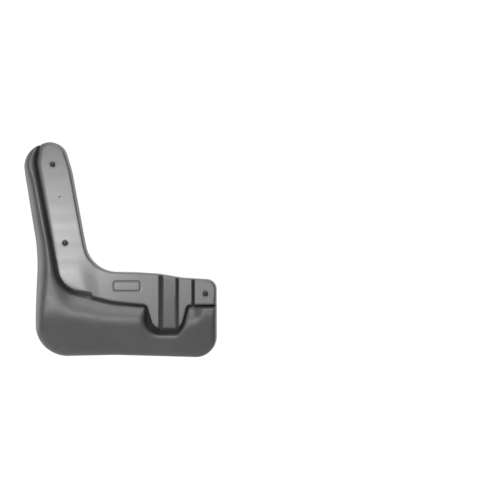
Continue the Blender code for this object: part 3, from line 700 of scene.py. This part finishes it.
def moulding_mesh():
    """The shell's closed wall: outer face, skirt, rim and inner face.

    Each vertex says how much of the smooth flange it is on.
    """
    rim = eased(rounded_path(OUTLINE, OUTLINE_STEP, True), VALUE_REACH)
    groove = rounded_path(GROOVE, GROOVE_STEP, False)
    past_pocket = GROOVE[: POCKET_CORNERS.start - 1] + GROOVE[POCKET_CORNERS.stop :]
    shelf = rounded_path(past_pocket, GROOVE_STEP, False)
    rim = with_crossings(rim, (SKIRT_SPLAY, SKIRT_SPLAY + WALL), groove, shelf, (FRONT_ROWS, REAR_ROWS))
    edge = shifted(rim, SKIRT_SPLAY)
    inner_edge = shifted(edge, WALL)
    inner_rim = shifted(rim, WALL)

    mesh = bmesh.new()
    flange_layer = mesh.verts.layers.float.new("flange")

    def add(places, flange):
        """Adds vertices at these places, each with its share of the flange."""
        made = []
        for place, share in zip(places, flange):
            vertex = mesh.verts.new(place)
            vertex[flange_layer] = share
            made.append(vertex)
        return made

    points, faces, border = sheet(edge, groove, shelf, FRONT_ROWS, mark_points())
    heights = add_marks(points, front_heights(points, edge, groove, shelf))
    on_flange = smooth((-measured(points, groove, False)[0] - FLANGE_BLEND[0]) / FLANGE_BLEND[1])
    front = add(in_world(points, heights), on_flange)
    for face in faces:
        mesh.faces.new([front[i] for i in face])
    front_ring = [front[i] for i in border]
    ring_flange = on_flange[border]

    points, faces, border = sheet(inner_edge, groove, shelf, REAR_ROWS)
    rear = add(in_world(points, rear_heights(points, inner_edge, groove, shelf)), np.zeros(len(points)))
    for face in faces:
        mesh.faces.new([rear[i] for i in reversed(face)])
    rear_ring = [rear[i] for i in border]

    outer_ring = add(in_world(rim[:, :2], rim[:, 3]), ring_flange)
    inner_ring = add(in_world(inner_rim[:, :2], rim[:, 3]), np.zeros(len(rim)))
    rings = (front_ring, outer_ring, inner_ring, rear_ring)
    for first, second in zip(rings, rings[1:]):
        for i in range(len(first)):
            k = (i + 1) % len(first)
            mesh.faces.new([first[i], second[i], second[k], first[k]])
    bmesh.ops.recalc_face_normals(mesh, faces=mesh.faces[:])
    return mesh


def linked(name, mesh):
    """An object in the scene made from this mesh, which is then freed."""
    data = bpy.data.meshes.new(name)
    mesh.to_mesh(data)
    mesh.free()
    made = bpy.data.objects.new(name, data)
    bpy.context.scene.collection.objects.link(made)
    return made


def shade(data):
    """Shades a mesh smooth but for its sharp edges."""
    data.shade_smooth()
    data.set_sharp_from_angle(angle=SHARP_ANGLE)


def make_object(name, mesh, material):
    """An object made from this mesh, with this material and smooth shading."""
    made = linked(name, mesh)
    made.data.materials.append(material)
    shade(made.data)
    return made


def facing_out(made, x, z, turn=0.0):
    """Puts an object's local Z along a fixing's axis, pointing out of the guard's face."""
    place = Matrix.Translation((x * MM, 0, z * MM))
    made.matrix_world = place @ Matrix.Rotation(math.pi / 2, 4, "X") @ Matrix.Rotation(turn, 4, "Z")
    return made


def cylinder(name, radius, low, high):
    """A cylinder along local Z between two heights."""
    mesh = bmesh.new()
    bmesh.ops.create_cone(
        mesh,
        cap_ends=True,
        segments=TURN_STEPS,
        radius1=radius * MM,
        radius2=radius * MM,
        depth=(high - low) * MM,
        matrix=Matrix.Translation((0, 0, (low + high) / 2 * MM)),
    )
    return linked(name, mesh)


def carve(made, steps, material):
    """Carves an object by Booleans, each an operation and a cutter, and removes the cutters."""
    for operation, cutter in steps:
        modifier = made.modifiers.new(cutter.name, "BOOLEAN")
        modifier.operation = operation
        modifier.object = cutter
        modifier.solver = "EXACT"
    bpy.context.view_layer.update()
    result = bpy.data.meshes.new_from_object(made.evaluated_get(bpy.context.evaluated_depsgraph_get()))
    made.modifiers.clear()
    old = made.data
    made.data = result
    bpy.data.meshes.remove(old)
    for _, cutter in steps:
        bpy.data.objects.remove(cutter)
    result.materials.clear()
    result.materials.append(material)
    result.polygons.foreach_set("material_index", [0] * len(result.polygons))
    shade(result)


def make_shell(material):
    """The fine shell, with a boss behind each fixing, a sunk spot in front of it and a hole through both."""
    shell = make_object("splash_guard_surface", moulding_mesh(), material)
    steps = []
    for name in FIXINGS:
        x, z = fixing_axis(name)
        boss = cylinder(f"boss_{name}", BOSS_RADIUS, 0, FLANGE - BOSS_SUNK)
        spot = cylinder(f"spot_{name}", SPOT_RADIUS, FLANGE - SPOT_DEPTH, FLANGE + CUTTER_PAST)
        hole = cylinder(f"hole_{name}", HOLE_RADIUS, -CUTTER_PAST, FLANGE + CUTTER_PAST)
        steps.append(("UNION", facing_out(boss, x, z)))
        steps.append(("DIFFERENCE", facing_out(spot, x, z)))
        steps.append(("DIFFERENCE", facing_out(hole, x, z)))
    carve(shell, steps, material)
    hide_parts("splash_guard_shell")
    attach(shell, "guard")


def turned(radius, angle, height):
    """A place in metres from its radius, angle and height about local Z."""
    return radius * math.cos(angle) * MM, radius * math.sin(angle) * MM, height * MM


def lathe(mesh, profile, closed=False):
    """Adds a turned surface: a profile of radii and heights, turned about local Z."""
    angles = [math.tau * k / TURN_STEPS for k in range(TURN_STEPS)]
    rings = []
    for radius, height in profile:
        if radius == 0:
            rings.append([mesh.verts.new((0, 0, height * MM))] * TURN_STEPS)
        else:
            rings.append([mesh.verts.new(turned(radius, angle, height)) for angle in angles])
    pairs = list(zip(rings, rings[1:])) + ([(rings[-1], rings[0])] if closed else [])
    for first, second in pairs:
        for k in range(TURN_STEPS):
            n = (k + 1) % TURN_STEPS
            corners = [first[k], first[n], second[n], second[k]]
            unique = [corner for i, corner in enumerate(corners) if corner not in corners[:i]]
            mesh.faces.new(unique)


def head_profile(seat):
    """The domed head's section, from the top round its soft edge to its underside."""
    profile = []
    for k in range(DOME_STEPS + 1):
        angle = DOME_ANGLE * k / DOME_STEPS
        share = 1 - DOME_SHARE + DOME_SHARE * math.cos(angle)
        profile.append((DOME_RADIUS * math.sin(angle), seat + HEAD_HEIGHT * share))
    return profile + [(HEAD_RADIUS - inset, seat + height) for inset, height in HEAD_RIM]


def add_thread(mesh, start, end):
    """Adds the thread's ridge, a tapered section wound round the core, running in and out."""
    count = int((start - end) / SCREW_PITCH * THREAD_STEPS)
    last = None
    for k in range(count + 1):
        angle = -math.tau * k / THREAD_STEPS
        height = start - SCREW_PITCH * k / THREAD_STEPS
        run_in = min(k / THREAD_STEPS / THREAD_RUN_IN, 1.0)
        run_out = min(1.0, (count - k) / THREAD_STEPS / THREAD_RUN_OUT)
        core = SCREW_CORE * min(1.0, (height - end + THREAD_PAST) / SCREW_POINT)
        crest = core + (SCREW_RADIUS - SCREW_CORE) * run_in * run_out
        upper = list(zip((core - THREAD_ROOT, core, crest), THREAD_LIFTS))
        section = upper + [(radius, -lift) for radius, lift in reversed(upper)]
        places = [turned(max(radius, AXIS_CLEAR), angle, height + lift) for radius, lift in section]
        ring = [mesh.verts.new(place) for place in places]
        if last:
            for i in range(len(ring)):
                n = (i + 1) % len(ring)
                mesh.faces.new([last[i], ring[i], ring[n], last[n]])
        else:
            mesh.faces.new(ring)
        last = ring
    mesh.faces.new(list(reversed(last)))


def recess_blade(name, top):
    """One blade of a recess: a box that narrows towards its foot."""
    mesh = bmesh.new()
    bmesh.ops.create_cube(mesh, size=1.0)
    for vertex in mesh.verts:
        at_foot = vertex.co.z < 0
        length_share, width_share = RECESS_FOOT if at_foot else RECESS_MOUTH
        vertex.co.x *= RECESS_LENGTH * length_share
        vertex.co.y *= RECESS_WIDTH * width_share
        vertex.co.z = top - RECESS_DEPTH if at_foot else top + RECESS_PAST
        vertex.co *= MM
    return linked(name, mesh)


def make_screw(name, material):
    """A pan-head tapping screw with a cross recess and a wound thread."""
    x, z = fixing_axis(name)
    seat = FLANGE - SPOT_DEPTH + 2 * GAP + WASHER_THICKNESS
    tip = seat - SCREW_LENGTH
    neck = [(SCREW_RADIUS * NECK_SHARE, seat), (SCREW_CORE, seat - NECK_TAPER)]
    point = [(SCREW_CORE, tip + SCREW_POINT), (0, tip)]
    mesh = bmesh.new()
    lathe(mesh, head_profile(seat) + neck + point)
    bmesh.ops.recalc_face_normals(mesh, faces=mesh.faces[:])
    screw = facing_out(make_object(f"screw_{name}_detail", mesh, material), x, z)
    steps = []
    for label, quarter in (("across", 0.0), ("along", math.pi / 2)):
        blade = recess_blade(f"recess_{name}_{label}", seat + HEAD_HEIGHT)
        steps.append(("DIFFERENCE", facing_out(blade, x, z, RECESS_TURNS[name] + quarter)))
    carve(screw, steps, material)
    mesh = bmesh.new()
    mesh.from_mesh(screw.data)
    add_thread(mesh, seat - THREAD_START, tip + THREAD_END)
    mesh.to_mesh(screw.data)
    mesh.free()
    shade(screw.data)
    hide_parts(f"screw_{name}")
    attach(screw, f"{name}_screw")


def make_washer(name, material):
    """A flat washer with softened edges."""
    x, z = fixing_axis(name)
    low = FLANGE - SPOT_DEPTH + GAP
    high = low + WASHER_THICKNESS
    profile = [
        (WASHER_BORE, high - WASHER_SOFT),
        (WASHER_BORE + WASHER_SOFT, high),
        (WASHER_RADIUS - 2 * WASHER_SOFT, high),
        (WASHER_RADIUS - WASHER_SOFT / 2, high - WASHER_SOFT),
        (WASHER_RADIUS, high - WASHER_EDGE),
        (WASHER_RADIUS, low + WASHER_SOFT),
        (WASHER_RADIUS - WASHER_SOFT, low),
        (WASHER_BORE + WASHER_SOFT, low),
        (WASHER_BORE, low + WASHER_SOFT),
    ]
    mesh = bmesh.new()
    lathe(mesh, profile, closed=True)
    bmesh.ops.recalc_face_normals(mesh, faces=mesh.faces[:])
    washer = facing_out(make_object(f"washer_{name}_detail", mesh, material), x, z)
    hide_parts(f"washer_{name}")
    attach(washer, f"{name}_washer")


def nut_line():
    """The bent strip's middle line, from its front leg's end round the bend to its rear leg's flared end."""
    front = -GAP - NUT_SHEET / 2
    rear = front - NUT_SHEET - NUT_GAP
    bend = (front - rear) / 2
    middle = NUT_REACH - bend
    line = [(-NUT_TAIL, front), (-NUT_FLAT, front), (middle - NUT_FLAT, front), (middle, front)]
    for k in range(1, NUT_BEND_STEPS):
        angle = math.pi / 2 - math.pi * k / NUT_BEND_STEPS
        line.append((middle + bend * math.cos(angle), front - bend + bend * math.sin(angle)))
    line += [(middle, rear), (0.0, rear)]
    return line + [(-NUT_TAIL + along, rear - drop) for along, drop in NUT_FLARE]


def nut_strip():
    """The spring nut's bent strip, without thickness and with rounded corners."""
    mesh = bmesh.new()
    rows = []
    for along, height in nut_line():
        sides = [side * NUT_WIDTH / 2 for side in (-1, 1)]
        rows.append([mesh.verts.new(Vector((along, side, height)) * MM) for side in sides])
    for first, second in zip(rows, rows[1:]):
        mesh.faces.new((first[0], second[0], second[1], first[1]))
    bmesh.ops.bevel(
        mesh,
        geom=rows[0] + rows[-1],
        offset=NUT_CORNER * MM,
        segments=5,
        profile=0.5,
        affect="VERTICES",
        offset_type="OFFSET",
    )
    return mesh


def make_spring_nut(name, material):
    """A U-shaped spring nut of bent sheet, with a drawn neck whose bore carries the thread."""
    x, z = fixing_axis(name)
    nut = make_object(f"spring_nut_{name}_detail", nut_strip(), material)
    facing_out(nut, x, z, NUT_TURNS[name])
    thickness = nut.modifiers.new("sheet", "SOLIDIFY")
    thickness.thickness = NUT_SHEET * MM
    thickness.offset = 0.0
    thickness.use_even_offset = True
    front = -GAP
    rear = front - NUT_SHEET - NUT_GAP
    low = rear - NUT_SHEET - NECK_HEIGHT
    neck = cylinder(f"neck_{name}", NECK_RADIUS, low, rear - NECK_OVERLAP)
    bore = cylinder(f"bore_{name}", NECK_BORE, low - NUT_CUTTER_PAST, rear + NUT_CUTTER_PAST)
    opening = cylinder(f"opening_{name}", OPENING_RADIUS, front - OPENING_DEPTH, front + NUT_CUTTER_PAST)
    steps = [
        ("UNION", facing_out(neck, x, z)),
        ("DIFFERENCE", facing_out(bore, x, z)),
        ("DIFFERENCE", facing_out(opening, x, z)),
    ]
    carve(nut, steps, material)
    soften = nut.modifiers.new("edges", "BEVEL")
    soften.width = NUT_SOFT * MM
    soften.segments = 2
    soften.limit_method = "ANGLE"
    soften.angle_limit = NUT_SOFT_ANGLE
    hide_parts(f"spring_nut_{name}")
    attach(nut, "guard")


class Graph:
    """The node tree of a material or of the world, with short calls for the nodes it needs."""

    def __init__(self, owner, shader="Principled BSDF"):
        owner.use_nodes = True
        self.owner = owner
        self.tree = owner.node_tree
        self.shader = self.tree.nodes[shader]

    def node(self, kind, links=None, **settings):
        """A node with these settings; links gives its inputs' values or sockets by name or number."""
        made = self.tree.nodes.new(kind)
        for setting, value in settings.items():
            setattr(made, setting, value)
        for key, value in (links or {}).items():
            self.feed(made.inputs[key], value)
        return made

    def feed(self, socket, value):
        """Gives an input its value, or links a socket to it."""
        if isinstance(value, bpy.types.NodeSocket):
            self.tree.links.new(value, socket)
        else:
            socket.default_value = value

    def place(self, scale=(1, 1, 1)):
        """Object coordinates in metres, scaled along each axis."""
        where = self.node("ShaderNodeTexCoord").outputs["Object"]
        return self.node("ShaderNodeMapping", {"Vector": where, "Scale": scale}).outputs["Vector"]

    def noise(self, scale, detail, roughness=0.55, stretch=(1, 1, 1)):
        """A noise from 0 to 1."""
        links = {"Vector": self.place(stretch), "Scale": scale, "Detail": detail, "Roughness": roughness}
        return self.node("ShaderNodeTexNoise", links).outputs["Fac"]

    def cells(self, scale):
        """A pattern of cells, as its node's outputs."""
        return self.node("ShaderNodeTexVoronoi", {"Vector": self.place(), "Scale": scale}).outputs

    def between(self, value, low, high, out_low=0.0, out_high=1.0):
        """The value mapped smoothly from one range to another, and held there."""
        links = {"Value": value, "From Min": low, "From Max": high, "To Min": out_low, "To Max": out_high}
        return self.node("ShaderNodeMapRange", links, interpolation_type="SMOOTHSTEP").outputs["Result"]

    def math(self, operation, a, b):
        """One sum of two values."""
        return self.node("ShaderNodeMath", {0: a, 1: b}, operation=operation).outputs[0]

    def mix(self, share, a, b):
        """A colour between two."""
        return self.node("ShaderNodeMix", {0: share, 6: a, 7: b}, data_type="RGBA").outputs[2]

    def bump(self, height, strength, distance, normal=None):
        """A normal bent by a height, whose full rise is a distance in metres, on top of another normal."""
        links = {"Height": height, "Strength": strength, "Distance": distance}
        if normal is not None:
            links["Normal"] = normal
        return self.node("ShaderNodeBump", links).outputs["Normal"]


def moulded_plastic():
    """Black moulded plastic: a grained body and a smoother flange with faint streaks, the flange's colour
    painted lighter as a sheen, and some dust.
    """
    g = Graph(bpy.data.materials.new("moulded_plastic_surface"))
    flange = g.node("ShaderNodeAttribute", attribute_name="flange").outputs["Fac"]

    mottle = g.noise(22, 4)
    cloudy = g.noise(70, 3)
    streaks = g.noise(7, 3, 0.5, (1, 1, 8))
    body_colour = g.mix(g.between(mottle, 0.3, 0.7), BODY_DARK, BODY_LIGHT)
    # The flange is painted lighter than the body as a sheen, with faint streaks and cloudy lighter patches.
    flange_sheen_colour = g.mix(g.between(streaks, 0.2, 0.8, 0.3, 0.7), FLANGE_SHEEN_DARK, FLANGE_SHEEN_LIGHT)
    flange_sheen_colour = g.mix(g.between(cloudy, 0.3, 0.8, 0.0, 0.5), flange_sheen_colour, FLANGE_SHEEN_LIGHT)
    colour = g.mix(flange, body_colour, flange_sheen_colour)

    specks = g.cells(95.0)
    drawn = g.node("ShaderNodeSeparateColor", {0: specks["Color"]}).outputs[0]
    chosen = g.math("GREATER_THAN", drawn, 0.93)
    dust = g.math("MULTIPLY", g.math("LESS_THAN", specks["Distance"], 0.035), chosen)
    g.feed(g.shader.inputs["Base Color"], g.mix(g.math("MULTIPLY", dust, 0.55), colour, DUST))

    rough_body = g.between(cloudy, 0.3, 0.7, *BODY_ROUGHNESS)
    rough_flange = g.between(streaks, 0.3, 0.7, *FLANGE_ROUGHNESS)
    roughness = g.node("ShaderNodeMix", {0: flange, 2: rough_body, 3: rough_flange}, data_type="FLOAT")
    g.feed(g.shader.inputs["Roughness"], roughness.outputs[0])
    g.shader.inputs["Specular IOR Level"].default_value = SPECULAR

    body_grain = g.math("MULTIPLY", g.cells(1150.0)["Distance"], g.math("SUBTRACT", 1.0, flange))
    normal = g.bump(g.noise(2600, 2), 0.10, 0.00008)
    normal = g.bump(body_grain, 0.25, 0.00012, normal)
    normal = g.bump(g.noise(34, 3), 0.12, 0.0006, normal)
    g.feed(g.shader.inputs["Normal"], normal)
    return g.owner


def black_steel():
    """Black-zinc steel, with wear that shows the bright metal in places."""
    g = Graph(bpy.data.materials.new("black_steel_surface"))
    worn = g.between(g.noise(900, 4, 0.65), 0.6, 0.75)
    g.feed(g.shader.inputs["Base Color"], g.mix(g.math("MULTIPLY", worn, 0.5), STEEL_DARK, STEEL_WORN))
    g.shader.inputs["Metallic"].default_value = STEEL_METALLIC
    g.feed(g.shader.inputs["Roughness"], g.between(g.noise(1400, 3), 0.3, 0.7, *STEEL_ROUGHNESS))
    g.feed(g.shader.inputs["Normal"], g.bump(g.noise(3200, 2), 0.12, 0.00005))
    return g.owner


def zinc_steel():
    """Bright zinc plate with a faint yellow bloom and drawing marks."""
    g = Graph(bpy.data.materials.new("zinc_steel_surface"))
    bloom = g.between(g.noise(260, 4), 0.35, 0.7)
    g.feed(g.shader.inputs["Base Color"], g.mix(bloom, ZINC_GREY, ZINC_YELLOW))
    g.shader.inputs["Metallic"].default_value = 1.0
    drawn = g.noise(500, 4, 0.6, (1, 1, 9))
    g.feed(g.shader.inputs["Roughness"], g.between(drawn, 0.3, 0.7, *ZINC_ROUGHNESS))
    g.feed(g.shader.inputs["Normal"], g.bump(g.noise(420, 3, 0.6, (1, 1, 14)), 0.10, 0.0001))
    return g.owner


def area_light(name, place, target, size, radiance):
    """A soft rectangular light at a place, aimed at a target, that the camera doesn't see."""
    data = bpy.data.lights.new(name, "AREA")
    data.shape = "RECTANGLE"
    data.size, data.size_y = size
    data.energy = radiance * math.pi * size[0] * size[1]
    made = bpy.data.objects.new(name, data)
    made.location = place
    made.rotation_euler = (Vector(target) - Vector(place)).to_track_quat("-Z", "Y").to_euler()
    made.visible_camera = False
    bpy.context.scene.collection.objects.link(made)


def make_surroundings():
    """White surroundings, dimmer in front of the part but plain white to the camera."""
    bpy.context.scene.world = bpy.data.worlds.new("white_studio")
    g = Graph(bpy.context.scene.world, "Background")
    direction = g.node("ShaderNodeTexCoord").outputs["Generated"]
    axes = g.node("ShaderNodeSeparateXYZ", {"Vector": direction})
    level = g.between(axes.outputs["Y"], *WORLD_LEVELS)
    seen = g.node("ShaderNodeLightPath").outputs["Is Camera Ray"]
    strength = g.node("ShaderNodeMix", {"Factor": seen, "A": level, "B": BACKDROP})
    g.shader.inputs["Color"].default_value = (1, 1, 1, 1)
    g.feed(g.shader.inputs["Strength"], strength.outputs["Result"])


def make_floor():
    """A pale floor well below the held part."""
    mesh = bmesh.new()
    bmesh.ops.create_circle(mesh, cap_ends=True, segments=FLOOR_SIDES, radius=FLOOR_RADIUS)
    floor = linked("studio_floor", mesh)
    floor.location = FLOOR_PLACE
    g = Graph(bpy.data.materials.new("studio_floor_paint"))
    g.feed(g.shader.inputs["Base Color"], g.mix(g.noise(6, 3), FLOOR_DARK, FLOOR_LIGHT))
    g.feed(g.shader.inputs["Roughness"], g.between(g.noise(30, 3), 0.3, 0.7, *FLOOR_ROUGHNESS))
    floor.data.materials.append(g.owner)


def make_camera():
    """A long lens straight in front, far enough that the guard shows as it was photographed."""
    data = bpy.data.cameras.new("camera")
    data.sensor_width = SENSOR
    data.lens = SENSOR * (CAMERA_DISTANCE - FLANGE * MM) / VIEW_WIDTH
    data.clip_start, data.clip_end = CLIP
    camera = bpy.data.objects.new("camera", data)
    camera.location = (VIEW_CENTRE[0], -CAMERA_DISTANCE, VIEW_CENTRE[1])
    camera.rotation_euler = (math.pi / 2, 0, 0)
    bpy.context.scene.collection.objects.link(camera)
    bpy.context.scene.camera = camera


def main():
    """Makes the pieces and the studio."""
    plastic = moulded_plastic()
    black = black_steel()
    zinc = zinc_steel()
    make_shell(plastic)
    for name in FIXINGS:
        make_screw(name, black)
        make_washer(name, black)
        make_spring_nut(name, zinc)
    make_surroundings()
    make_floor()
    for light in LIGHTS:
        area_light(*light)
    make_camera()
    bpy.context.scene.view_settings.view_transform = "Standard"


main()
